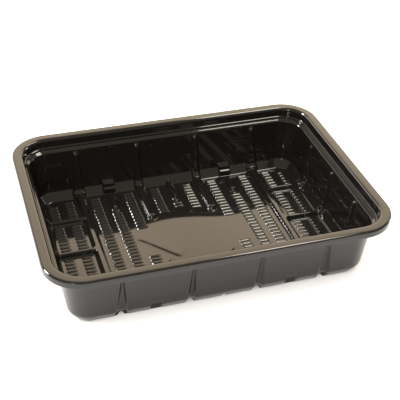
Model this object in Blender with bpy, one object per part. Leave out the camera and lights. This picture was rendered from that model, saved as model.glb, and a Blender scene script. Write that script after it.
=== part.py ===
"""Empty sealable meal tray: one thermoformed sheet of black plastic.

Frame: metres, +Z up, X along the length, Y across the width, origin on the
ground under the middle of the tray. Dimensions below are in millimetres.

The tray is built as a shell swept round a rounded rectangle. Every rib, bar,
rail and floor ridge is a "form" added on the food side and a smaller "core"
taken out of the ground side, so the sheet keeps its thickness through it.
"""
import math

import bmesh
import bpy

MM = 0.001

# Overall
LENGTH = 187.0
WIDTH = 137.0
HEIGHT = 38.9
SHEET = 0.55
LIP_RADIUS = 20.8
CORNER_STEPS = 7

# Upper side of the sheet: inset from the lip edge, height above the ground
LIP_EDGE = (0.0, 36.8)
RIM_SHOULDER = (0.4, 38.3)
RIM_OUTER = (1.4, HEIGHT)
RIM_INNER = (5.2, HEIGHT)
UPPER_WALL_TOP = (6.4, 38.0)
UPPER_WALL_FOOT = (6.7, 33.7)
STEP_EDGE = (7.1, 33.4)
LEDGE_OUTER = (7.25, 32.4)
LEDGE_INNER = (8.9, 31.2)
WALL_FOOT = (12.1, 5.6)
FLOOR_EDGE = (15.8, SHEET)

# Lower side of the same sheet
LIP_UNDER = (0.5, 36.2)
SHOULDER_UNDER = (0.9, 38.0)
RIM_UNDER_OUTER = (1.6, HEIGHT - SHEET)
RIM_UNDER_INNER = (5.0, HEIGHT - SHEET)
UPPER_WALL_UNDER_TOP = (5.85, 37.7)
UPPER_WALL_UNDER_FOOT = (6.15, 33.3)
STEP_UNDER = (6.6, 33.0)
LEDGE_UNDER_OUTER = (6.75, 31.95)
LEDGE_UNDER_INNER = (8.35, 30.8)
WALL_UNDER = (11.55, 5.45)
FLOOR_UNDER = (15.3, 0.0)

# Bars, rails and ribs (X positions are used on both sides of the middle)
BAR_RISE = 2.6
BAR_DRAFT = 0.8
RAIL_X = 55.5
RAIL_HALF = 3.0
LONG_BAR_X = 18.5
LONG_BAR_HALF = 2.9
LONG_BAR_END = 18.8
MIDDLE_BAR_HALF = 2.4
MIDDLE_BAR_END = 34.5
SHORT_BAR_X = 37.2
SHORT_BAR_HALF = 2.8
SHORT_BAR_SPAN = (33.6, 48.8)
CROSS_BAR_Y = 30.0
CROSS_BAR_HALF = 2.5
RIB_TOP = 30.2
RIB_SHOULDER = 28.8
RIB_TOP_HALF = 1.9
RIB_SHOULDER_DEPTH = 1.2
RIB_FOOT_DEPTH = 1.7
RIB_FOOT_HALF = 3.0
WIDE_RIB_FOOT_HALF = 3.8

# Stacking blocks that bridge the sloped foot of the long walls
BLOCK_HALF = 3.9
BLOCK_FRONT = 52.4
BLOCK_FRONT_Z = 3.6
BLOCK_BACK = 57.5
BLOCK_BACK_Z = 7.2

# Floor ridges: short, along X, stacked in columns along Y
RIDGE_PITCH = 3.0
RIDGE_HALF_BASE = 1.2
RIDGE_RISE = 0.6
RIDGE_CORE_HALF = 0.6
RIDGE_CORE_RISE = 0.35
RIDGE_END_SLOPE = 0.7
RIDGE_SINK = 0.1
# (middle X, half length, first Y, last Y), repeated in all four quarters
RIDGE_COLUMNS = (
    (0.0, 2.8, 28.5, 31.5),
    (10.2, 3.0, 25.5, 49.5),
    (26.6, 3.2, 13.5, 49.5),
    (37.2, 3.1, 1.5, 31.5),
    (47.2, 3.1, 1.5, 49.5),
    (63.0, 2.9, 4.5, 25.5),
    (63.0, 2.9, 34.5, 49.5),
    (72.9, 2.8, 4.5, 25.5),
    (72.9, 2.8, 34.5, 46.5),
)

REACH = 12.0  # how far cores run past the outside of a wall


def clear_scene():
    for old in list(bpy.data.objects):
        bpy.data.objects.remove(old, do_unlink=True)


def ring(inset, height):
    """Rounded rectangle at one inset and height, anticlockwise from +X."""
    half_x = LENGTH / 2 - inset
    half_y = WIDTH / 2 - inset
    radius = LIP_RADIUS - 0.86 * inset
    points = []
    corners = ((1, 1, 0), (-1, 1, 90), (-1, -1, 180), (1, -1, 270))
    for sign_x, sign_y, start in corners:
        for step in range(CORNER_STEPS + 1):
            angle = math.radians(start + 90.0 * step / CORNER_STEPS)
            points.append((
                sign_x * (half_x - radius) + radius * math.cos(angle),
                sign_y * (half_y - radius) + radius * math.sin(angle),
                height,
            ))
    return points


def new_object(name, points, faces):
    mesh = bpy.data.meshes.new(name)
    mesh.from_pydata([(x * MM, y * MM, z * MM) for x, y, z in points], [], faces)
    work = bmesh.new()
    work.from_mesh(mesh)
    bmesh.ops.recalc_face_normals(work, faces=work.faces)
    work.to_mesh(mesh)
    work.free()
    made = bpy.data.objects.new(name, mesh)
    bpy.context.collection.objects.link(made)
    return made


def loft(sections):
    """Points and faces of a closed solid through loops of equal length."""
    count = len(sections[0])
    points = [point for section in sections for point in section]
    faces = []
    for level in range(len(sections) - 1):
        low = level * count
        high = low + count
        for step in range(count):
            after = (step + 1) % count
            faces.append((low + step, low + after, high + after, high + step))
    faces.append(tuple(reversed(range(count))))
    last = (len(sections) - 1) * count
    faces.append(tuple(range(last, last + count)))
    return points, faces


def joined(name, parts):
    """One object holding several separate solids."""
    points = []
    faces = []
    for part_points, part_faces in parts:
        start = len(points)
        points.extend(part_points)
        faces.extend(tuple(start + index for index in face) for face in part_faces)
    return new_object(name, points, faces)


def mirrored(part, flip_x, flip_y):
    points, faces = part
    sign_x = -1 if flip_x else 1
    sign_y = -1 if flip_y else 1
    return [(sign_x * x, sign_y * y, z) for x, y, z in points], faces


def box_section(x0, x1, y0, y1, z):
    return [(x0, y0, z), (x1, y0, z), (x1, y1, z), (x0, y1, z)]


def stadium_section(middle_x, half, y0, y1, z):
    """Outline with a half round at each end that lies inside y0..y1."""
    steps = 8
    points = []
    for step in range(steps + 1):
        angle = math.pi * step / steps
        points.append((middle_x + half * math.cos(angle), y1 - half + half * math.sin(angle), z))
    for step in range(steps + 1):
        angle = math.pi + math.pi * step / steps
        points.append((middle_x + half * math.cos(angle), y0 + half + half * math.sin(angle), z))
    return points


def shell_part():
    profile = (
        FLOOR_UNDER, WALL_UNDER, LEDGE_UNDER_INNER, LEDGE_UNDER_OUTER, STEP_UNDER,
        UPPER_WALL_UNDER_FOOT, UPPER_WALL_UNDER_TOP, RIM_UNDER_INNER, RIM_UNDER_OUTER,
        SHOULDER_UNDER, LIP_UNDER, LIP_EDGE, RIM_SHOULDER, RIM_OUTER, RIM_INNER,
        UPPER_WALL_TOP, UPPER_WALL_FOOT, STEP_EDGE, LEDGE_OUTER, LEDGE_INNER,
        WALL_FOOT, FLOOR_EDGE,
    )
    return loft([ring(inset, height) for inset, height in profile])


def middle_of_sheet():
    """Filled body whose skin runs inside the sheet; it trims the forms."""
    def between(upper, lower):
        return ((upper[0] + lower[0]) / 2, (upper[1] + lower[1]) / 2)
    profile = (
        (FLOOR_EDGE[0], SHEET / 2),
        between(WALL_FOOT, WALL_UNDER),
        between(LEDGE_INNER, LEDGE_UNDER_INNER),
    )
    return loft([ring(inset, height) for inset, height in profile])


def bar_pair(middle_x, half, y0, y1):
    """Form and core of a bar along Y with round ends."""
    top = SHEET + BAR_RISE
    form = loft([
        stadium_section(middle_x, half, y0, y1, SHEET / 2),
        stadium_section(middle_x, half - BAR_DRAFT, y0 + BAR_DRAFT, y1 - BAR_DRAFT, top),
    ])
    inner = half - SHEET
    core = loft([
        stadium_section(middle_x, inner + 0.2, y0 + SHEET - 0.2, y1 - SHEET + 0.2, -0.8),
        stadium_section(middle_x, inner, y0 + SHEET, y1 - SHEET, 0.0),
        stadium_section(middle_x, inner - BAR_DRAFT, y0 + SHEET + BAR_DRAFT,
                        y1 - SHEET - BAR_DRAFT, BAR_RISE),
    ])
    return form, core


def straight_pair(x0, x1, y0, y1, along):
    """Form and core of a square-ended bar; `along` is the axis it runs on."""
    draft_x = 0.0 if along == "X" else BAR_DRAFT
    draft_y = 0.0 if along == "Y" else BAR_DRAFT
    in_x = 0.0 if along == "X" else SHEET
    in_y = 0.0 if along == "Y" else SHEET
    form = loft([
        box_section(x0, x1, y0, y1, SHEET / 2),
        box_section(x0 + draft_x, x1 - draft_x, y0 + draft_y, y1 - draft_y, SHEET + BAR_RISE),
    ])
    core = loft([
        box_section(x0 + in_x, x1 - in_x, y0 + in_y, y1 - in_y, -0.8),
        box_section(x0 + in_x + draft_x, x1 - in_x - draft_x,
                    y0 + in_y + draft_y, y1 - in_y - draft_y, BAR_RISE),
    ])
    return form, core


def wall_inset(height):
    """Inset of the sloped main wall at a height."""
    share = (height - WALL_FOOT[1]) / (LEDGE_INNER[1] - WALL_FOOT[1])
    return WALL_FOOT[0] + share * (LEDGE_INNER[0] - WALL_FOOT[0])


def rib_pair(middle, half_span, foot_half):
    """Form and core of a rib on the wall at +half_span, in (along, across, up)."""
    def face(height):
        return half_span - wall_inset(height)
    foot = WALL_FOOT[1]
    far = half_span + REACH
    levels = (
        (foot_half + 0.3, half_span - FLOOR_EDGE[0] - RIB_FOOT_DEPTH, SHEET / 2),
        (foot_half, face(foot) - RIB_FOOT_DEPTH, foot),
        (RIB_TOP_HALF, face(RIB_SHOULDER) - RIB_SHOULDER_DEPTH, RIB_SHOULDER),
        (RIB_TOP_HALF - 0.5, face(RIB_TOP) + SHEET / 2, RIB_TOP),
    )
    form = loft([
        box_section(middle - half, middle + half, near, far, height)
        for half, near, height in levels
    ])
    core = loft([
        box_section(middle - half + SHEET, middle + half - SHEET, near + SHEET, far,
                    height - SHEET)
        for half, near, height in levels
    ])
    return form, core


def turned(part):
    """The same solid with its along and across axes swapped."""
    points, faces = part
    return [(y, x, z) for x, y, z in points], faces


def block_pair(middle_x):
    def prism(profile, half):
        left = [(middle_x - half, y, z) for y, z in profile]
        right = [(middle_x + half, y, z) for y, z in profile]
        return loft([left, right])
    far = WIDTH / 2 + REACH
    form = prism((
        (BLOCK_FRONT, SHEET / 2), (far, SHEET / 2), (far, BLOCK_BACK_Z),
        (BLOCK_BACK, BLOCK_BACK_Z), (BLOCK_FRONT + 0.4, BLOCK_FRONT_Z),
    ), BLOCK_HALF)
    core = prism((
        (BLOCK_FRONT + SHEET, -0.8), (far, -0.8), (far, BLOCK_BACK_Z - SHEET),
        (BLOCK_BACK + 0.3, BLOCK_BACK_Z - SHEET),
        (BLOCK_FRONT + 0.4 + SHEET, BLOCK_FRONT_Z - SHEET),
    ), BLOCK_HALF - SHEET)
    return form, core


def ridge(middle_x, middle_y, half_length, half_width, base_z, top_z):
    """Low roof shape along X with sloped ends."""
    x0 = middle_x - half_length
    x1 = middle_x + half_length
    points = [
        (x0, middle_y - half_width, base_z), (x1, middle_y - half_width, base_z),
        (x1, middle_y + half_width, base_z), (x0, middle_y + half_width, base_z),
        (x0 + RIDGE_END_SLOPE, middle_y, top_z), (x1 - RIDGE_END_SLOPE, middle_y, top_z),
    ]
    faces = [(0, 3, 2, 1), (0, 1, 5, 4), (2, 3, 4, 5), (1, 2, 5), (3, 0, 4)]
    return points, faces


def ridge_places():
    """Middle X, middle Y and half length of every floor ridge."""
    places = set()
    for middle_x, half_length, first, last in RIDGE_COLUMNS:
        count = int(round((last - first) / RIDGE_PITCH)) + 1
        for step in range(count):
            middle_y = first + step * RIDGE_PITCH
            for sign_x in (-1, 1):
                for sign_y in (-1, 1):
                    x = sign_x * middle_x + 0.0
                    y = sign_y * middle_y + 0.0
                    places.add((round(x, 3), round(y, 3), half_length))
    return sorted(places)


def feature_pairs():
    pairs = []
    for flip_x in (False, True):
        for flip_y in (False, True):
            quarter = [
                bar_pair(LONG_BAR_X, LONG_BAR_HALF, LONG_BAR_END, WIDTH / 2 + REACH),
                bar_pair(SHORT_BAR_X, SHORT_BAR_HALF, *SHORT_BAR_SPAN),
                block_pair(SHORT_BAR_X),
                rib_pair(LONG_BAR_X, WIDTH / 2, RIB_FOOT_HALF),
                rib_pair(RAIL_X, WIDTH / 2, WIDE_RIB_FOOT_HALF),
            ]
            side_rib = rib_pair(CROSS_BAR_Y, LENGTH / 2, RIB_FOOT_HALF)
            quarter.append((turned(side_rib[0]), turned(side_rib[1])))
            for form, core in quarter:
                pairs.append((mirrored(form, flip_x, flip_y), mirrored(core, flip_x, flip_y)))
    for flip_y in (False, True):
        form, core = bar_pair(0.0, MIDDLE_BAR_HALF, MIDDLE_BAR_END, WIDTH / 2 + REACH)
        pairs.append((mirrored(form, False, flip_y), mirrored(core, False, flip_y)))
    for flip_x in (False, True):
        rail = straight_pair(RAIL_X - RAIL_HALF, RAIL_X + RAIL_HALF,
                             -WIDTH / 2 - REACH, WIDTH / 2 + REACH, "Y")
        middle_rib = rib_pair(0.0, LENGTH / 2, RIB_FOOT_HALF)
        side = [rail, (turned(middle_rib[0]), turned(middle_rib[1]))]
        for middle_y in (-CROSS_BAR_Y, 0.0, CROSS_BAR_Y):
            side.append(straight_pair(RAIL_X, LENGTH / 2 + REACH, middle_y - CROSS_BAR_HALF,
                                      middle_y + CROSS_BAR_HALF, "X"))
        for form, core in side:
            pairs.append((mirrored(form, flip_x, False), mirrored(core, flip_x, False)))
    return pairs


def tool_group(name, parts):
    """A collection holding one tool object for each solid."""
    group = bpy.data.collections.new(name)
    bpy.context.scene.collection.children.link(group)
    for number, part in enumerate(parts):
        tool = new_object("%s_%02d" % (name, number), *part)
        bpy.context.collection.objects.unlink(tool)
        group.objects.link(tool)
        tool.hide_render = True
        tool.display_type = "WIRE"
    return group


def boolean(target, operation, tool=None, group=None):
    modifier = target.modifiers.new(operation.title(), "BOOLEAN")
    modifier.operation = operation
    modifier.solver = "EXACT"
    if group is not None:
        modifier.operand_type = "COLLECTION"
        modifier.collection = group
        return
    modifier.object = tool
    tool.hide_render = True
    tool.display_type = "WIRE"


def plastic():
    material = bpy.data.materials.new("black_plastic")
    material.use_nodes = True
    shader = material.node_tree.nodes["Principled BSDF"]
    shader.inputs["Base Color"].default_value = (0.012, 0.011, 0.010, 1.0)
    shader.inputs["Roughness"].default_value = 0.22
    shader.inputs["Specular IOR Level"].default_value = 0.5
    return material


def main():
    clear_scene()
    pairs = feature_pairs()
    forms = [form for form, core in pairs]
    cores = [core for form, core in pairs]

    added = new_object("forms", *forms[0])
    boolean(added, "UNION", group=tool_group("form", forms[1:]))
    boolean(added, "INTERSECT", tool=new_object("sheet_middle", *middle_of_sheet()))

    places = ridge_places()
    ridges = joined("ridges", [
        ridge(x, y, half, RIDGE_HALF_BASE, SHEET - RIDGE_SINK, SHEET + RIDGE_RISE)
        for x, y, half in places
    ])
    ridge_cores = joined("ridge_cores", [
        ridge(x, y, half - SHEET, RIDGE_CORE_HALF, -RIDGE_SINK, RIDGE_CORE_RISE)
        for x, y, half in places
    ])

    tray = new_object("tray", *shell_part())
    boolean(tray, "UNION", tool=added)
    boolean(tray, "UNION", tool=ridges)
    boolean(tray, "DIFFERENCE", group=tool_group("core", cores))
    boolean(tray, "DIFFERENCE", tool=ridge_cores)
    tray.data.materials.append(plastic())


main()
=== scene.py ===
"""Looks of the empty black meal tray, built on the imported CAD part.

The tray is one thin sheet of plastic. Its food side and its ground side are each a
connected grid of points: a rectangle inside the floor, flat loops around it, and
loops that climb the profile of wall, ledge and rim. Ribs and blocks push the wall
loops inward, and bars and ridges lift the floor.
"""

import math

import bpy
import numpy as np
from mathutils import Matrix, Vector


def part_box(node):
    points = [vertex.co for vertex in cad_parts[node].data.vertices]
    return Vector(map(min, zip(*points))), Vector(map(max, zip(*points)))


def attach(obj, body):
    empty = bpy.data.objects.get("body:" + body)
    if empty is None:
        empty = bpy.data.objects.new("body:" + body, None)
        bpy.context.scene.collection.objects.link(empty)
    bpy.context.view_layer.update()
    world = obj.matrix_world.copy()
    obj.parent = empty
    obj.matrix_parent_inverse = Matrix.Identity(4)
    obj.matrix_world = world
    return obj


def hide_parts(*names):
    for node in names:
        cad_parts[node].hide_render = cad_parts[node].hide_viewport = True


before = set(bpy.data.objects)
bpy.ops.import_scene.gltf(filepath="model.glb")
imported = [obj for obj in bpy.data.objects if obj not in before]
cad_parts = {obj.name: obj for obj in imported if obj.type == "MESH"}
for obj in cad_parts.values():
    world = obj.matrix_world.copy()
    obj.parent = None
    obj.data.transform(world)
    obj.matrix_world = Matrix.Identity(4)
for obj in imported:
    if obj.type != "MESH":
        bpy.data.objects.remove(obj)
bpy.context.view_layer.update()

MM = 0.001

# ---- Tray, in millimetres; its outer size is the CAD part's ------------------
LOWEST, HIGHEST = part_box("tray")
LENGTH = round((HIGHEST.x - LOWEST.x) / MM, 2)
WIDTH = round((HIGHEST.y - LOWEST.y) / MM, 2)
HEIGHT = round((HIGHEST.z - LOWEST.z) / MM, 2)
SHEET = 0.55
LIP_RADIUS = 20.8
RADIUS_SHARE = 0.86  # how much of the inset each corner radius loses

# Profile corners from the floor outward: inset from the lip's edge, height, fillet
UPPER_PROFILE = (
    (17.6, SHEET, 0.0),    # edge of the flat floor
    (15.8, SHEET, 1.6),    # start of the sloped foot
    (12.1, 5.6, 0.6),      # foot meets wall
    (9.1, 31.2, 0.3),      # wall meets ledge
    (7.3, 32.4, 0.2),      # outer end of the sloping ledge
    (7.2, 33.4, 0.2),      # top of a small riser
    (6.6, 33.7, 0.2),      # outer end of a small tread
    (5.9, HEIGHT, 1.7),    # inner edge of the rim
    (0.0, HEIGHT, 2.3),    # outer edge of the rim
    (0.0, 36.5, 0.0),      # on the lip's outer face, where the two sides meet
)
LOWER_PROFILE = (
    (17.1, 0.0, 0.0),      # the same forms on the sheet's other side
    (15.2, 0.0, 1.6),
    (11.6, 5.4, 1.4),
    (8.55, 30.7, 0.3),
    (6.75, 31.9, 0.2),
    (6.65, 33.0, 0.2),
    (6.05, 33.3, 0.2),
    (5.35, HEIGHT - SHEET, 1.2),
    (SHEET, HEIGHT - SHEET, 1.75),
    (SHEET, 35.2, 0.1),    # down the inside of the lip to its cut edge
    (0.27, 35.0, 0.1),     # lowest point of the lip
    (0.0, 35.2, 0.1),
    (0.0, 36.5, 0.0),
)

# Bars on the floor
BAR_RISE = 2.6
BAR_SLOPE = 2.0
RAIL_X = 55.5
RAIL_HALF = 3.0
LONG_BAR_X = 18.5
LONG_BAR_HALF = 3.2
LONG_BAR_END = 18.8
MIDDLE_BAR_HALF = 2.4
MIDDLE_BAR_END = 34.5
SHORT_BAR_X = 37.2
SHORT_BAR_HALF = 2.8
SHORT_BAR_SPAN = (33.6, 48.8)
CROSS_BAR_YS = (-30.0, 0.0, 30.0)
CROSS_BAR_HALF = 2.5
JOINT_FILLET = 2.6

# Ribs on the walls: place along the wall, half width at the foot
LONG_WALL_RIBS = ((-55.5, 3.8), (-18.5, 3.0), (18.5, 3.0), (55.5, 3.8))
SHORT_WALL_RIBS = ((-30.0, 3.0), (0.0, 3.0), (30.0, 3.0))
RIB_TOP_HALF = 1.7
RIB_TOP = 30.0
RIB_TOP_FADE = 1.6
RIB_FOOT_Z = 5.6
RIB_FOOT_FADE = 1.2
RIB_TOP_DEPTH = 1.2
RIB_FOOT_DEPTH = 1.7
RIB_EDGE = 1.4
RIB_BLEND = 3.0
RIB_WIDEN_LIMIT = 1.2  # ribs go on widening below RIB_FOOT_Z, to this share of the way

# Stacking blocks at the foot of the long walls
BLOCK_HALF = 3.9
BLOCK_FRONT = 52.6
BLOCK_STEP_Y = 54.3
BLOCK_STEP_Z = 3.9
BLOCK_BACK = 57.0
BLOCK_TOP_Z = 7.0
BLOCK_TREAD = 0.8
BLOCK_EDGE = 0.7
BLOCK_SPOT = 0.3  # mesh lines gather this far inside a block's sides

# Floor ridges: middle X, half length, first Y, last Y in one quarter
RIDGE_PITCH = 3.0
RIDGE_HALF = 1.25
RIDGE_RISE = 0.6
RIDGE_END = 0.8
RIDGE_COLUMNS = (
    (0.0, 2.8, 28.5, 31.5),
    (10.2, 3.0, 25.5, 49.5),
    (26.6, 3.2, 13.5, 49.5),
    (37.2, 3.1, 1.5, 31.5),
    (47.2, 3.1, 1.5, 49.5),
    (63.0, 2.9, 4.5, 25.5),
    (63.0, 2.9, 34.5, 49.5),
    (72.9, 2.8, 4.5, 25.5),
    (72.9, 2.8, 34.5, 46.5),
)
BUMP_REACH = 4.5  # bars and ridges end within this height of the floor

# The thin floor is a low dome whose slope across the width waves along the length
DOME_RISE = 0.6
DOME_REACH_X = 55.0
DOME_REACH_Y = 45.0
DOME_TILT = -0.004
WAVE_TILT = 0.0165
WAVE_CREST_X = -7.0
WAVE_HALF = 38.0  # half of one wave's length

# Faint crease across the flat floor: lower on one side of it, higher on the other
CREASE_FROM = (-33.0, 5.1)
CREASE_TO = (-11.7, -18.4)
CREASE_RISE = 0.17
CREASE_WIDTH = 0.75
CREASE_REACH = 8.0
CREASE_FADE = 4.0

# ---- Mesh spacing, in millimetres --------------------------------------------
FLOOR_INSIDE_LINES = (0.25, 1.0)  # finest, coarsest
WALLS_INSIDE_LINES = (0.3, 1.5)
FLOOR_OUTSIDE_LINES = (0.5, 1.5)
WALLS_OUTSIDE_LINES = (0.42, 1.6)
PROFILE_STEP = 1.0
FINE_BELOW = 8.6  # profile rows are closer together up to the top of the blocks
FINE_SHARE = 0.35
FILLET_POINTS = 6
FILLET_SHARE = 0.48  # most of a profile stretch that the fillet at one end takes
CORNER_STEPS = 24
SPOT_REACH = 0.7  # lines keep their finest spacing this far from a steep spot
SPOT_FADE = 1.5  # and reach their coarsest this much further on
SPOT_SAMPLE = 0.02
FLOOR_SEAM_X = 5.0  # where the floor's food side is parted, on flat floor
SHARP_ANGLE = math.radians(36.0)  # the ridges' feet are sharper than this
STRAIGHT = 0.999  # on a straight wall one part of the outward direction is above this
FAR = 1000.0

# ---- Plastic -----------------------------------------------------------------
PLASTIC_TINT = (1.04, 0.92, 0.80)  # slightly warm black
PLASTIC_IOR = 1.42
SHADE_SCALE = 60.0
SHADE_DETAIL = 3.0
SHADE_LEVELS = (0.9, 1.1)
WAVY_SCALE = 90.0
WAVY_DETAIL = 2.0
WAVY_STRENGTH = 0.03
WAVY_DEPTH = 0.0002
# Both sides are the same black plastic. The ground side's higher roughness is real, but its higher
# brightness is painted light that lifts its outer walls and lip.
GLOSSY_FINISH = (0.04, 0.07, 0.0046)  # smoothest, roughest, brightness
SATIN_FINISH_PAINTED_LIGHTER = (0.2, 0.26, 0.0080)

# ---- Camera, fitted to the outlines of the tray; millimetres, clip in metres ----
CAMERA_YAW = math.radians(18.84)
CAMERA_PITCH = math.radians(35.72)
CAMERA_ROLL = math.radians(2.13)
CAMERA_LENS = 79.62
CAMERA_SENSOR = 36.0
CAMERA_TARGET = (14.38, 32.54, 0.0)
CAMERA_DISTANCE = 539.16
CAMERA_CLIP = (0.01, 50.0)

# ---- Table and light; places and sizes of cards in millimetres -----------------
TABLE_PLACE = (0.0, 0.0, 0.0)
TABLE_AIM = (0.0, 0.0, 100.0)
TABLE_SIZE = (30000.0, 30000.0)
TABLE_SHADE = 0.86
TABLE_ROUGHNESS = 0.7
TABLE_SHINE = 0.2
WORLD_COLOUR = (1.0, 0.87, 0.70)
WORLD_STRENGTH = 0.7

# The backdrop's reflection is the warm, curved patch on the floor
BACKDROP_PLACE = (775.0, 1300.0, 1350.0)
BACKDROP_AIM = (775.0, 0.0, 1350.0)
BACKDROP_SIZE = (2050.0, 2700.0)
BACKDROP_COLOUR = (1.0, 0.825, 0.60)
BACKDROP_STOPS = ((-1350.0, 1.2), (-700.0, 4.0), (-200.0, 4.0), (550.0, 0.8))

# The low card lights the lip's left edge and the ledge on the right
LOW_CARD_PLACE = (-950.0, 900.0, 350.0)
LOW_CARD_AIM = (0.0, 0.0, 350.0)
LOW_CARD_SIZE = (1500.0, 700.0)
LOW_CARD_COLOUR = (1.0, 0.93, 0.84)
LOW_CARD_STRENGTH = 6.0

# Cards seen only as glints: name, place, aim, width and height, colour, strength
CREAM = (1.0, 0.93, 0.78)
WARM_WHITE = (1.0, 0.97, 0.93)
GLINT_CARDS = (
    ("right_softbox", (292.0, 203.0, 700.0), (292.0, 203.0, 0.0), (155.0, 555.0), CREAM, 19.0),
    ("left_softbox", (-655.0, 430.0, 660.0), (-20.0, 20.0, 0.0), (160.0, 160.0), WARM_WHITE, 430.0),
    ("front_light", (-1200.0, -1600.0, 700.0), (0.0, 0.0, 0.0), (320.0, 320.0), WARM_WHITE, 30.0),
    ("right_light", (1200.0, 150.0, 260.0), (0.0, 0.0, 0.0), (260.0, 260.0), WARM_WHITE, 25.0),
)

# Lamps: name, place in metres, width in metres, watts
LAMPS = (
    ("overhead", (-0.3, 0.3, 1.6), 2.6, 110.0),
    ("front_fill", (-0.7, -1.4, 1.2), 1.5, 40.0),
)


# ---- Curves and distances ------------------------------------------------------
def ease(value):
    """Smooth step from 0 to 1."""
    value = np.clip(value, 0.0, 1.0)
    return value * value * (3.0 - 2.0 * value)


def smooth_min(a, b, reach):
    """Minimum of two distances with a fillet where they meet."""
    share = np.clip(0.5 + 0.5 * (b - a) / reach, 0.0, 1.0)
    return b + (a - b) * share - reach * share * (1.0 - share)


def power_max(a, b, power=8.0):
    """Soft maximum of two heights that aren't negative."""
    a = np.maximum(a, 0.0)
    b = np.maximum(b, 0.0)
    top = np.maximum(np.maximum(a, b), 1e-6)
    return top * ((a / top) ** power + (b / top) ** power) ** (1.0 / power)


def stadium_distance(x, y, middle_x, half, y0, y1):
    """Distance to a round-ended bar along Y; negative inside."""
    nearest = np.clip(y, y0 + half, y1 - half)
    return np.hypot(x - middle_x, y - nearest) - half


# ---- Floor -----------------------------------------------------------------------
def bar_distance(x, y):
    """Distance to the joined rails, cross bars and round-ended bars."""
    side_x = np.abs(x)
    side_y = np.abs(y)
    rails = np.abs(side_x - RAIL_X) - RAIL_HALF
    inside_rails = RAIL_X - side_x
    crosses = np.full_like(x, FAR)
    for middle in CROSS_BAR_YS:
        cross = np.maximum(np.abs(y - middle) - CROSS_BAR_HALF, inside_rails)
        crosses = np.minimum(crosses, cross)
    joined = smooth_min(rails, crosses, JOINT_FILLET)
    long_bars = stadium_distance(side_x, side_y, LONG_BAR_X, LONG_BAR_HALF, LONG_BAR_END, FAR)
    middle_bar = stadium_distance(x, side_y, 0.0, MIDDLE_BAR_HALF, MIDDLE_BAR_END, FAR)
    short_bars = stadium_distance(side_x, side_y, SHORT_BAR_X, SHORT_BAR_HALF, *SHORT_BAR_SPAN)
    return np.minimum(np.minimum(joined, long_bars), np.minimum(middle_bar, short_bars))


def ridge_shape(x, y):
    """Floor ridges as a share of their full height."""
    side_x = np.abs(x)
    side_y = np.abs(y)
    row = np.mod(side_y, RIDGE_PITCH) - RIDGE_PITCH / 2
    ridges = np.zeros_like(x)
    for middle, half_length, first, last in RIDGE_COLUMNS:
        inside = (side_y > first - RIDGE_PITCH / 2) & (side_y < last + RIDGE_PITCH / 2)
        beyond = np.maximum(np.abs(side_x - middle) - (half_length - RIDGE_END), 0.0)
        reach = np.minimum(np.hypot(beyond / RIDGE_END, row / RIDGE_HALF), 1.0)
        ridges = np.maximum(ridges, np.where(inside, 1.0 - reach ** 2, 0.0))
    return ridges


def floor_bump(x, y, shrink):
    """Height of bars and ridges over the flat floor; `shrink` narrows the bars."""
    bars = BAR_RISE * ease(-(bar_distance(x, y) + shrink) / BAR_SLOPE)
    return np.maximum(bars, RIDGE_RISE * ridge_shape(x, y))


def floor_crease(x, y):
    """How far the crease lifts or lowers the floor beside it."""
    start = np.array(CREASE_FROM)
    along = np.array(CREASE_TO) - start
    length = np.linalg.norm(along)
    along = along / length
    travel = (x - start[0]) * along[0] + (y - start[1]) * along[1]
    aside = (y - start[1]) * along[0] - (x - start[0]) * along[1]
    ends = ease(travel / CREASE_FADE) * ease((length - travel) / CREASE_FADE)
    fold = np.tanh(aside / CREASE_WIDTH) * np.exp(-(aside / CREASE_REACH) ** 2)
    return CREASE_RISE * ends * fold


def floor_warp(x, y):
    """How far the thin floor stands above its foot."""
    turn = math.pi * (x - WAVE_CREST_X) / WAVE_HALF
    tilt = DOME_TILT + WAVE_TILT * np.cos(turn)
    dome = np.exp(-(x / DOME_REACH_X) ** 4 - (y / DOME_REACH_Y) ** 4)
    return (DOME_RISE + tilt * y) * dome + floor_crease(x, y)


# ---- Walls -----------------------------------------------------------------------
def rib_depth(along, height, ribs, shrink):
    """How far wall ribs stand inward at a place along the wall and a height."""
    drop = np.clip((RIB_TOP - height) / (RIB_TOP - RIB_FOOT_Z), 0.0, RIB_WIDEN_LIMIT)
    depth = RIB_TOP_DEPTH + (RIB_FOOT_DEPTH - RIB_TOP_DEPTH) * np.clip(drop, 0.0, 1.0)
    depth = depth * ease((RIB_TOP - height) / RIB_TOP_FADE)
    total = np.zeros_like(along)
    for middle, foot_half in ribs:
        half = RIB_TOP_HALF + (foot_half - RIB_TOP_HALF) * drop
        total = np.maximum(total, ease((half - shrink - np.abs(along - middle)) / RIB_EDGE))
    return depth * total


def rib_line(along, height, ribs):
    """Slide grid lines along a wall so that they follow the slanted rib edges."""
    drop = min(max((RIB_TOP - height) / (RIB_TOP - RIB_FOOT_Z), 0.0), 1.0)
    placed = along.copy()
    for middle, foot_half in ribs:
        half = RIB_TOP_HALF + (foot_half - RIB_TOP_HALF) * drop
        offset = along - middle
        span = np.abs(offset)
        outer = foot_half + RIB_BLEND
        near = span * half / foot_half
        far = half + (span - foot_half) * (outer - half) / RIB_BLEND
        moved = np.where(span < foot_half, near, far)
        placed = np.where(span < outer, middle + np.sign(offset) * moved, placed)
    return placed


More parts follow.
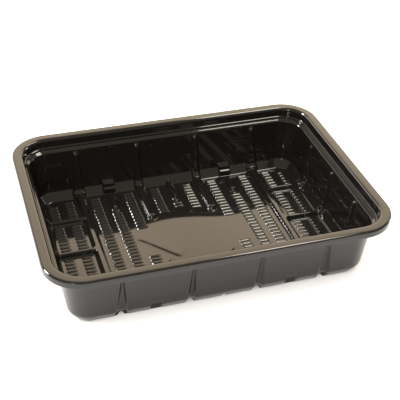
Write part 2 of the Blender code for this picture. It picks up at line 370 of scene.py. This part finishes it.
def block_depth(x, y, height, shrink):
    """How far the stacking blocks stand inward from a long wall at a height."""
    low = BLOCK_FRONT + (BLOCK_STEP_Y - BLOCK_FRONT) * ease((height - BLOCK_STEP_Z) / BLOCK_TREAD)
    stepped = low + (BLOCK_BACK - BLOCK_STEP_Y) * ease((height - BLOCK_TOP_Z) / BLOCK_TREAD)
    plain = BLOCK_FRONT + (BLOCK_BACK - BLOCK_FRONT) * ease((height - BLOCK_STEP_Z) / BLOCK_TREAD)
    total = 0.0
    for middle, surface, top in ((SHORT_BAR_X, stepped, BLOCK_TOP_Z), (RAIL_X, plain, BLOCK_STEP_Z)):
        depth = np.maximum(np.abs(y) - surface - shrink, 0.0)
        edges = ease((BLOCK_HALF - shrink - np.abs(np.abs(x) - middle)) / BLOCK_EDGE)
        total = total + np.where(height < top + BLOCK_TREAD, depth * edges, 0.0)
    return total


# ---- Grid lines ------------------------------------------------------------------
def filleted(corners):
    """Points of (inset, height) along the profile, with each corner rounded."""
    points = [np.array(corner[:2]) for corner in corners]
    curve = [points[0]]
    for before, here, after, corner in zip(points, points[1:], points[2:], corners[1:]):
        back = before - here
        ahead = after - here
        back_length = np.linalg.norm(back)
        ahead_length = np.linalg.norm(ahead)
        back = back / back_length
        ahead = ahead / ahead_length
        reach = min(corner[2], FILLET_SHARE * back_length, FILLET_SHARE * ahead_length)
        for share in np.linspace(0.0, 1.0, FILLET_POINTS):
            start = here + back * reach * (1 - share)
            end = here + ahead * reach * share
            curve.append(start * (1 - share) + end * share)
    curve.append(points[-1])
    return curve


def profile_rows(corners):
    """The filleted profile with extra rows wherever its points lie far apart."""
    curve = filleted(corners)
    rows = [curve[0]]
    for here in curve[1:]:
        start = rows[-1]
        step = PROFILE_STEP * (FINE_SHARE if here[1] < FINE_BELOW else 1.0)
        count = max(1, int(round(np.linalg.norm(here - start) / step)))
        for number in range(1, count + 1):
            rows.append(start + (here - start) * number / count)
    return np.array(rows)


def spaced_lines(limit, spots, fine, coarse):
    """Positions from -limit to limit, closer together near the listed spots."""
    places = np.arange(0.0, limit, SPOT_SAMPLE)
    nearest = np.min(np.abs(places[:, None] - np.array(spots)[None, :]), axis=1)
    spacing = fine + (coarse - fine) * ease((nearest - SPOT_REACH) / SPOT_FADE)
    count_so_far = np.concatenate([[0.0], np.cumsum(SPOT_SAMPLE / spacing)])
    count = int(math.ceil(count_so_far[-1]))
    wanted = np.linspace(0.0, count_so_far[-1], count + 1)
    half = np.interp(wanted, count_so_far, np.append(places, limit))
    half[-1] = limit
    return np.concatenate([-half[:0:-1], half])


def both_sides(middle, half, edge):
    """The two places where the sides of a bar, rib or ridge are steepest."""
    return [middle - half + edge, middle + half - edge]


def x_spots():
    """Steep places along the length, at X above 0."""
    spots = [0.0]
    for middle, half_length, first, last in RIDGE_COLUMNS:
        spots += both_sides(middle, half_length, RIDGE_END / 2)
    for middle, half in ((RAIL_X, RAIL_HALF), (LONG_BAR_X, LONG_BAR_HALF),
                         (SHORT_BAR_X, SHORT_BAR_HALF), (0.0, MIDDLE_BAR_HALF)):
        spots += both_sides(middle, half, BAR_SLOPE / 2)
    spots += both_sides(SHORT_BAR_X, BLOCK_HALF, BLOCK_SPOT)
    for middle, half in LONG_WALL_RIBS[2:]:
        spots += both_sides(middle, half, RIB_EDGE / 2)
    return spots


def y_spots():
    """Steep places across the width, at Y above 0."""
    spots = [0.0]
    for middle, half in SHORT_WALL_RIBS[1:]:
        spots += both_sides(middle, half, RIB_EDGE / 2)
        spots += both_sides(middle, CROSS_BAR_HALF, BAR_SLOPE / 2)
    return spots


# ---- The sheet of plastic ----------------------------------------------------------
class Sheet:
    """One side of the plastic sheet as a connected grid of points.

    `shrink` makes bars, ribs and blocks narrower, `lines` are the finest and the
    coarsest spacing, and even rows have the finest spacing across the whole width.
    """

    def __init__(self, profile, floor_height, shrink, lines, even_rows):
        fine, coarse = lines
        self.profile = profile_rows(profile)
        self.floor_height = floor_height
        self.shrink = shrink
        floor_inset = profile[0][0]
        self.floor_radius = LIP_RADIUS - RADIUS_SHARE * floor_inset
        self.half_x = LENGTH / 2 - floor_inset - self.floor_radius
        self.half_y = WIDTH / 2 - floor_inset - self.floor_radius
        self.xs = spaced_lines(self.half_x, x_spots(), fine, coarse)
        if even_rows:
            rows = int(round(2 * self.half_y / fine))
            self.ys = np.linspace(-self.half_y, self.half_y, rows + 1)
        else:
            self.ys = spaced_lines(self.half_y, y_spots(), fine, coarse)
        self.margin_count = int(round(self.floor_radius / fine))

    def loop(self, half_x, half_y, radius):
        """Points and outward directions of one closed loop."""
        scale_x = half_x / self.half_x
        scale_y = half_y / self.half_y
        pieces = []
        normals = []
        turns = np.linspace(0.0, math.pi / 2, CORNER_STEPS + 1)[1:-1]

        def corner(sign_x, sign_y, start):
            angles = start + turns
            around = np.stack([np.cos(angles), np.sin(angles)], axis=1)
            pieces.append(np.array([sign_x * half_x, sign_y * half_y]) + radius * around)
            normals.append(around)

        def side(points, normal):
            pieces.append(points)
            normals.append(np.tile(np.array(normal, dtype=float), (len(points), 1)))

        right = np.stack([np.full_like(self.ys, half_x + radius), self.ys * scale_y], axis=1)
        top = np.stack([self.xs[::-1] * scale_x, np.full_like(self.xs, half_y + radius)], axis=1)
        side(right, (1, 0))
        corner(1, 1, 0.0)
        side(top, (0, 1))
        corner(-1, 1, math.pi / 2)
        side(-right, (-1, 0))
        corner(-1, -1, math.pi)
        side(-top, (0, -1))
        corner(1, -1, 1.5 * math.pi)
        return np.concatenate(pieces), np.concatenate(normals)

    def margin_loops(self):
        """Flat loops between the inner rectangle and the start of the profile."""
        for number in range(self.margin_count + 1):
            radius = self.floor_radius * number / self.margin_count
            yield self.half_x, self.half_y, radius, self.floor_height

    def profile_loops(self):
        """Loops that climb the profile from the edge of the flat floor to the lip."""
        for inset, height in self.profile:
            radius = LIP_RADIUS - RADIUS_SHARE * inset
            yield LENGTH / 2 - inset - radius, WIDTH / 2 - inset - radius, radius, height

    def shaped(self, points, normals, height):
        """Final points of a loop, with ribs, blocks, bars and ridges applied."""
        x = points[:, 0].copy()
        y = points[:, 1].copy()
        z = np.full_like(x, height)
        rise = height - self.floor_height
        above_floor = rise > 1e-6  # false only on the flat loops
        if above_floor and height < RIB_TOP:
            on_long = np.abs(normals[:, 1]) > STRAIGHT
            on_short = np.abs(normals[:, 0]) > STRAIGHT
            x = np.where(on_long, rib_line(x, height, LONG_WALL_RIBS), x)
            y = np.where(on_short, rib_line(y, height, SHORT_WALL_RIBS), y)
            ribs = np.where(on_long, rib_depth(x, z, LONG_WALL_RIBS, self.shrink), 0.0)
            ribs += np.where(on_short, rib_depth(y, z, SHORT_WALL_RIBS, self.shrink), 0.0)
            blocks = np.where(on_long, block_depth(x, y, z, self.shrink), 0.0)
            inward = np.maximum(ribs * ease(rise / RIB_FOOT_FADE), blocks)
            x -= normals[:, 0] * inward
            y -= normals[:, 1] * inward
        if rise < BUMP_REACH:
            bump = floor_bump(x, y, self.shrink)
            z = self.floor_height + power_max(z - self.floor_height, bump)
        if not above_floor:
            z = z + floor_warp(x, y)
        return np.stack([x, y, z], axis=1)

    def floor_grid(self):
        """Points, quads and edge point numbers of the rectangle inside the margins."""
        grid_x, grid_y = np.meshgrid(self.xs, self.ys, indexing="ij")
        x = grid_x.ravel()
        y = grid_y.ravel()
        z = self.floor_height + floor_bump(x, y, self.shrink) + floor_warp(x, y)
        index = np.arange(len(x)).reshape(len(self.xs), len(self.ys))
        quads = np.stack([index[:-1, :-1].ravel(), index[1:, :-1].ravel(),
                          index[1:, 1:].ravel(), index[:-1, 1:].ravel()], axis=1)
        corner = CORNER_STEPS - 1
        edge = np.concatenate([
            index[-1, :], np.full(corner, index[-1, -1]),
            index[::-1, -1], np.full(corner, index[0, -1]),
            index[0, ::-1], np.full(corner, index[0, 0]),
            index[:, 0], np.full(corner, index[-1, 0]),
        ])
        return np.stack([x, y, z], axis=1), quads, edge

    def joined(self, points, faces, previous, loops):
        """Add the loops to the points and quads, each joined to the loop before it."""
        total = sum(len(block) for block in points)
        for half_x, half_y, radius, height in loops:
            flat, normals = self.loop(half_x, half_y, radius)
            current = total + np.arange(len(flat))
            points.append(self.shaped(flat, normals, height))
            total += len(flat)
            if previous is not None:
                after = np.roll(np.arange(len(flat)), -1)
                faces.append(np.stack([previous, current, current[after], previous[after]], axis=1))
            previous = current
        return np.concatenate(points), np.concatenate(faces)

    def floor(self):
        """Points and quads of the floor with its margins."""
        grid, quads, edge = self.floor_grid()
        return self.joined([grid], [quads], edge, list(self.margin_loops())[1:])

    def walls(self):
        """Points and quads of the walls, from the edge of the flat floor to the lip."""
        loops = list(self.margin_loops())[-1:] + list(self.profile_loops())[1:]
        return self.joined([], [], None, loops)


def part_of(points, quads, chosen):
    """The chosen quads with only the points that they use."""
    kept = quads[chosen]
    used, renumbered = np.unique(kept, return_inverse=True)
    return points[used], renumbered.reshape(kept.shape)


def mesh_object(name, vertices, quads):
    """Object from points and quads; a quad with a doubled corner is a triangle."""
    faces = []
    for quad in quads.tolist():
        unique = []
        for index in quad:
            if index not in unique:
                unique.append(index)
        if len(unique) > 2:
            faces.append(unique)
    mesh = bpy.data.meshes.new(name)
    mesh.from_pydata((vertices * MM).tolist(), [], faces)
    mesh.polygons.foreach_set("use_smooth", [True] * len(mesh.polygons))
    mesh.update()
    made = bpy.data.objects.new(name, mesh)
    bpy.context.scene.collection.objects.link(made)
    return made


def inside_pieces():
    """Food side of the sheet: three strips of the floor, and the walls with the rim."""
    floor = Sheet(UPPER_PROFILE, SHEET, 0.0, FLOOR_INSIDE_LINES, even_rows=True)
    points, quads = floor.floor()
    first_x = points[quads[:, 0], 0]
    pieces = []
    for name, low, high in (("tray_floor_left", -LENGTH, -FLOOR_SEAM_X),
                            ("tray_floor_middle", -FLOOR_SEAM_X, FLOOR_SEAM_X),
                            ("tray_floor_right", FLOOR_SEAM_X, LENGTH)):
        strip = part_of(points, quads, (first_x >= low) & (first_x < high))
        piece = mesh_object(name, *strip)
        piece.data.set_sharp_from_angle(angle=SHARP_ANGLE)
        pieces.append(piece)
    walls = Sheet(UPPER_PROFILE, SHEET, 0.0, WALLS_INSIDE_LINES, even_rows=False)
    pieces.append(mesh_object("tray_walls_inside", *walls.walls()))
    return pieces


def outside_pieces():
    """Ground side of the sheet: its floor, and its walls with the underside of the rim."""
    floor = Sheet(LOWER_PROFILE, 0.0, SHEET, FLOOR_OUTSIDE_LINES, even_rows=True)
    walls = Sheet(LOWER_PROFILE, 0.0, SHEET, WALLS_OUTSIDE_LINES, even_rows=False)
    return [
        mesh_object("tray_floor_outside", *floor.floor()),
        mesh_object("tray_walls_outside", *walls.walls()),
    ]


# ---- Materials -----------------------------------------------------------------------
def new_material(name):
    """Material with nodes, and its node tree's nodes and links."""
    material = bpy.data.materials.new(name)
    material.use_nodes = True
    return material, material.node_tree.nodes, material.node_tree.links


def noise(nodes, links, place, scale, detail):
    """Value output of a noise that is fixed to the piece."""
    made = nodes.new("ShaderNodeTexNoise")
    made.inputs["Scale"].default_value = scale
    made.inputs["Detail"].default_value = detail
    links.new(place.outputs["Object"], made.inputs["Vector"])
    return made.outputs["Fac"]


def tray_plastic(name, smoothest, roughest, brightness):
    """Black plastic with a faint waviness and a polish between two roughnesses."""
    material, nodes, links = new_material(name)
    shader = nodes["Principled BSDF"]
    shader.inputs["IOR"].default_value = PLASTIC_IOR
    place = nodes.new("ShaderNodeTexCoord")
    shade = noise(nodes, links, place, SHADE_SCALE, SHADE_DETAIL)
    colour = nodes.new("ShaderNodeValToRGB")
    for element, level in zip(colour.color_ramp.elements, SHADE_LEVELS):
        element.color = (*(channel * brightness * level for channel in PLASTIC_TINT), 1.0)
    links.new(shade, colour.inputs["Fac"])
    links.new(colour.outputs["Color"], shader.inputs["Base Color"])
    polish = nodes.new("ShaderNodeMapRange")
    polish.inputs["To Min"].default_value = smoothest
    polish.inputs["To Max"].default_value = roughest
    links.new(shade, polish.inputs["Value"])
    links.new(polish.outputs["Result"], shader.inputs["Roughness"])
    bump = nodes.new("ShaderNodeBump")
    bump.inputs["Strength"].default_value = WAVY_STRENGTH
    bump.inputs["Distance"].default_value = WAVY_DEPTH
    links.new(noise(nodes, links, place, WAVY_SCALE, WAVY_DETAIL), bump.inputs["Height"])
    links.new(bump.outputs["Normal"], shader.inputs["Normal"])
    return material


def table_white():
    """Matt white of the table."""
    material, nodes, _ = new_material("table_white")
    shader = nodes["Principled BSDF"]
    shader.inputs["Base Color"].default_value = (TABLE_SHADE, TABLE_SHADE, TABLE_SHADE, 1.0)
    shader.inputs["Roughness"].default_value = TABLE_ROUGHNESS
    shader.inputs["Specular IOR Level"].default_value = TABLE_SHINE
    return material


def emitter(name, colour, strength):
    """Evenly glowing material."""
    material, nodes, links = new_material(name)
    nodes.clear()
    light = nodes.new("ShaderNodeEmission")
    light.inputs["Color"].default_value = (*colour, 1.0)
    light.inputs["Strength"].default_value = strength
    out = nodes.new("ShaderNodeOutputMaterial")
    links.new(light.outputs["Emission"], out.inputs["Surface"])
    return material


def graded_emitter(name, colour, stops):
    """Glow that changes up the card: stops are (height on the card in mm, strength)."""
    material = emitter(name, colour, 1.0)
    nodes = material.node_tree.nodes
    links = material.node_tree.links
    place = nodes.new("ShaderNodeTexCoord")
    split = nodes.new("ShaderNodeSeparateXYZ")
    links.new(place.outputs["Object"], split.inputs["Vector"])
    total = None
    for (low, start), (high, end) in zip(stops, stops[1:]):
        grade = nodes.new("ShaderNodeMapRange")
        grade.interpolation_type = "SMOOTHSTEP"
        grade.inputs["From Min"].default_value = low * MM
        grade.inputs["From Max"].default_value = high * MM
        grade.inputs["To Min"].default_value = 0.0 if total else start
        grade.inputs["To Max"].default_value = end - start if total else end
        links.new(split.outputs["Y"], grade.inputs["Value"])
        if total:
            added = nodes.new("ShaderNodeMath")
            links.new(total, added.inputs[0])
            links.new(grade.outputs["Result"], added.inputs[1])
            total = added.outputs["Value"]
        else:
            total = grade.outputs["Result"]
    links.new(total, nodes["Emission"].inputs["Strength"])
    return material


# ---- Tray, table, light and camera -----------------------------------------------------
def add_tray():
    """The visible pieces, which stand for the CAD tray."""
    glossy = tray_plastic("tray_plastic_glossy", *GLOSSY_FINISH)
    # The ground side's copy has a lighter base colour: painted light on the outer walls and lip, with a
    # real, rougher finish.
    satin_painted_lighter = tray_plastic("tray_plastic_satin_painted_lighter", *SATIN_FINISH_PAINTED_LIGHTER)
    finished = [(piece, glossy) for piece in inside_pieces()]
    finished += [(piece, satin_painted_lighter) for piece in outside_pieces()]
    for piece, material in finished:
        piece.data.materials.append(material)
        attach(piece, "root")
        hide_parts("tray")


def card(name, place, aim, size, material):
    """Flat rectangle centred at `place` that faces `aim`, all in millimetres."""
    half_w = size[0] * MM / 2
    half_h = size[1] * MM / 2
    corners = [(-half_w, -half_h, 0), (half_w, -half_h, 0), (half_w, half_h, 0), (-half_w, half_h, 0)]
    mesh = bpy.data.meshes.new(name)
    mesh.from_pydata(corners, [], [(0, 1, 2, 3)])
    made = bpy.data.objects.new(name, mesh)
    made.data.materials.append(material)
    middle = Vector(place) * MM
    towards = Vector(aim) * MM - middle
    made.matrix_world = Matrix.Translation(middle) @ towards.to_track_quat("Z", "Y").to_matrix().to_4x4()
    bpy.context.scene.collection.objects.link(made)
    return made


def light_card(name, place, aim, size, material):
    """Glowing card that the camera doesn't see directly."""
    made = card(name, place, aim, size, material)
    made.visible_camera = False
    return made


def lamp(name, place, size, power):
    """Soft square lamp aimed at the tray that shows in no reflection."""
    data = bpy.data.lights.new(name, "AREA")
    data.shape = "SQUARE"
    data.size = size
    data.energy = power
    made = bpy.data.objects.new(name, data)
    made.location = place
    made.rotation_euler = (-Vector(place)).to_track_quat("-Z", "Y").to_euler()
    made.visible_glossy = False
    bpy.context.scene.collection.objects.link(made)


def add_lights():
    """Dim warm world, two large cards, four glint cards and two lamps."""
    world = bpy.data.worlds.new("studio")
    world.use_nodes = True
    background = world.node_tree.nodes["Background"]
    background.inputs["Color"].default_value = (*WORLD_COLOUR, 1.0)
    background.inputs["Strength"].default_value = WORLD_STRENGTH
    bpy.context.scene.world = world

    warm = graded_emitter("backdrop_glow", BACKDROP_COLOUR, BACKDROP_STOPS)
    light_card("backdrop", BACKDROP_PLACE, BACKDROP_AIM, BACKDROP_SIZE, warm)
    low = emitter("left_low_glow", LOW_CARD_COLOUR, LOW_CARD_STRENGTH)
    light_card("left_low", LOW_CARD_PLACE, LOW_CARD_AIM, LOW_CARD_SIZE, low)
    for name, place, aim, size, colour, strength in GLINT_CARDS:
        glow = emitter(name + "_glow", colour, strength)
        light_card(name, place, aim, size, glow).visible_diffuse = False
    for name, place, size, power in LAMPS:
        lamp(name, place, size, power)


def add_camera():
    """Camera that looks at its target with the given yaw, pitch and roll."""
    yaw, pitch, roll = CAMERA_YAW, CAMERA_PITCH, CAMERA_ROLL
    forward = Vector((math.sin(yaw) * math.cos(pitch), math.cos(yaw) * math.cos(pitch),
                      -math.sin(pitch)))
    level = Vector((math.cos(yaw), -math.sin(yaw), 0.0))
    over = level.cross(forward)
    right = level * math.cos(roll) + over * math.sin(roll)
    up = over * math.cos(roll) - level * math.sin(roll)
    data = bpy.data.cameras.new("camera")
    data.lens = CAMERA_LENS
    data.sensor_width = CAMERA_SENSOR
    data.clip_start, data.clip_end = CAMERA_CLIP
    made = bpy.data.objects.new("camera", data)
    bpy.context.scene.collection.objects.link(made)
    place = (Vector(CAMERA_TARGET) - forward * CAMERA_DISTANCE) * MM
    turn = Matrix((right, up, -forward)).transposed().to_4x4()
    made.matrix_world = Matrix.Translation(place) @ turn
    bpy.context.scene.camera = made


bpy.context.scene.view_settings.view_transform = "Standard"
bpy.context.scene.view_settings.look = "None"
add_tray()
card("table", TABLE_PLACE, TABLE_AIM, TABLE_SIZE, table_white())
add_lights()
add_camera()
